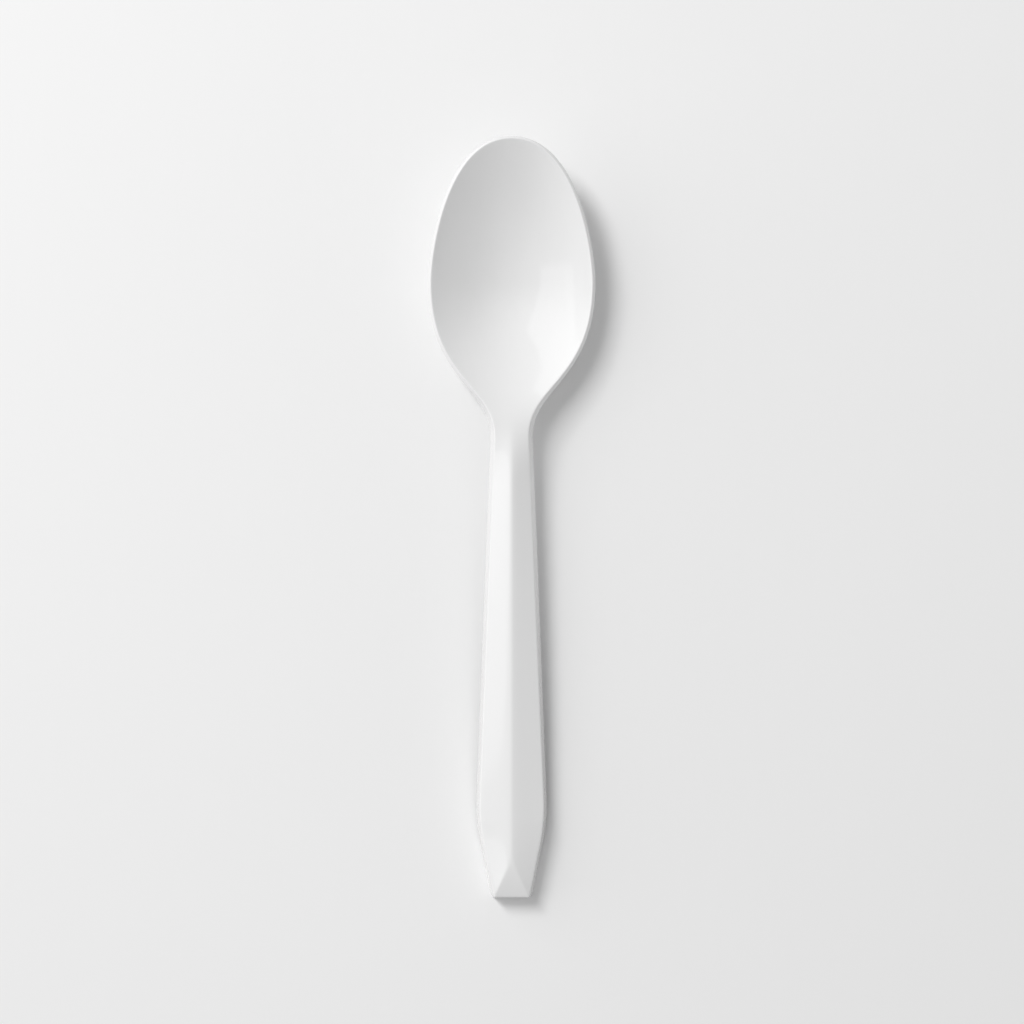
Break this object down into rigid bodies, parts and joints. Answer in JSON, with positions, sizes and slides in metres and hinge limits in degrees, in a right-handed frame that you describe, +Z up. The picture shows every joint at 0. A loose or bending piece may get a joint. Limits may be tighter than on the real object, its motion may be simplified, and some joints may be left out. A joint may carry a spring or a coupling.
{
  "type": "spoon",
  "caption": "White disposable plastic teaspoon moulded in one piece, with an egg-shaped bowl, a flat neck and a roof-shaped handle that is open underneath.",
  "frame": {"origin": "on the surface the spoon rests on, under the middle of its outer box", "axes": "+Y along the spoon towards the tip of the bowl, +X across the spoon, +Z up out of the bowl"},
  "size_m": [0.033, 0.15, 0.0152],
  "materials": {
    "white_plastic": "semi-gloss moulded white plastic"
  },
  "bodies": {
    "root": {"spoon_moulding": "white_plastic"}
  },
  "joints": []
}
